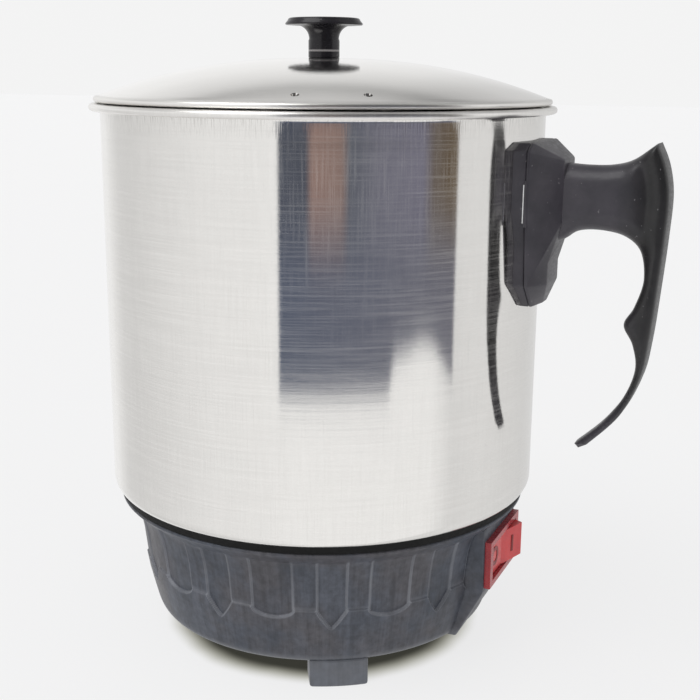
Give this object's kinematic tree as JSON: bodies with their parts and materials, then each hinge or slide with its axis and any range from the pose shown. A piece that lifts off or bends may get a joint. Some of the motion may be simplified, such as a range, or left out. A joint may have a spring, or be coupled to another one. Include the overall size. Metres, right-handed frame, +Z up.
{
  "type": "electric heating cup",
  "caption": "Straight steel pot with a domed lift-off lid, hook handle and rocker switch, on a moulded base holding a plate heater.",
  "frame": {"origin": "on the axis of the pot, at the plane that the three feet stand on", "axes": "+Z up along the pot's axis, +X towards the handle and the switch, -X towards the power inlet"},
  "size_m": [0.1833, 0.1468, 0.2003],
  "materials": {
    "pot_steel": "fine circumferential brushing over a near-mirror",
    "lid_steel": "spun, near-mirror",
    "bracket_steel": "plain sheet steel",
    "handle_plastic": "satin moulded phenolic",
    "screw_steel": "plated",
    "heater_aluminium": "cast",
    "tube_steel": "heat-darkened",
    "ceramic": "unglazed ceramic",
    "thermostat_black": "phenolic",
    "fuse_sleeve": "glass-fibre sleeve",
    "base_plastic": "satin moulded plastic, mottled",
    "seal_rubber": "soft",
    "contact_brass": "bare",
    "bezel_red": "gloss, slightly see-through",
    "rocker_red": "gloss, see-through, lit from inside",
    "neon_glass": "clear",
    "inlet_plastic": "moulded",
    "wire_brown": "silicone",
    "wire_red": "silicone",
    "wire_white": "braided glass fibre",
    "wire_blue": "silicone",
    "wire_green": "silicone"
  },
  "bodies": {
    "kettle": {"pot_body": "pot_steel", "handle_bracket": "bracket_steel", "handle_seat": "handle_plastic", "handle": "handle_plastic", "handle_screw": "screw_steel", "heat_plate": "heater_aluminium", "heating_element": "tube_steel", "element_beads": "ceramic", "thermostat": "thermostat_black", "thermostat_clip": "bracket_steel", "clip_screws": "screw_steel", "thermal_fuse": "fuse_sleeve", "base_shell": "base_plastic", "base_gasket": "seal_rubber", "base_stud": "screw_steel", "base_washer": "screw_steel", "base_nut": "screw_steel", "earth_tag": "contact_brass", "switch_housing": "bezel_red", "switch_terminals": "contact_brass", "neon_lamp": "neon_glass", "inlet_housing": "inlet_plastic", "inlet_pins": "contact_brass", "inlet_screws": "screw_steel", "live_lead": "wire_brown", "switched_lead": "wire_red", "fused_lead": "wire_white", "neutral_lead": "wire_blue", "earth_lead": "wire_green"},
    "lid": {"lid_shell": "lid_steel", "lid_knob": "handle_plastic", "knob_insert": "contact_brass", "knob_screw": "screw_steel", "knob_washer": "seal_rubber"},
    "rocker": {"rocker": "rocker_red", "rocker_plunger": "ceramic", "rocker_spring": "screw_steel"},
    "contact_arm": {"contact_arm": "contact_brass"}
  },
  "joints": [
    {"name": "lid_lift", "type": "slide", "parent": "kettle", "child": "lid", "axis": [0, 0, 1], "range_m": [0, 0.06]},
    {"name": "rocker_tilt", "type": "hinge", "parent": "kettle", "child": "rocker", "pos_m": [0.0608, 0, 0.0333], "axis": [0, 0, 1], "range_deg": [0, 20]},
    {"name": "contact_swing", "type": "hinge", "parent": "kettle", "child": "contact_arm", "pos_m": [0.053, 0, 0.0333], "axis": [0, 0, 1], "range_deg": [-12, 0]}
  ],
  "couplings": [
    {"joint": "contact_swing", "follows": "rocker_tilt", "ratio": -0.6}
  ]
}
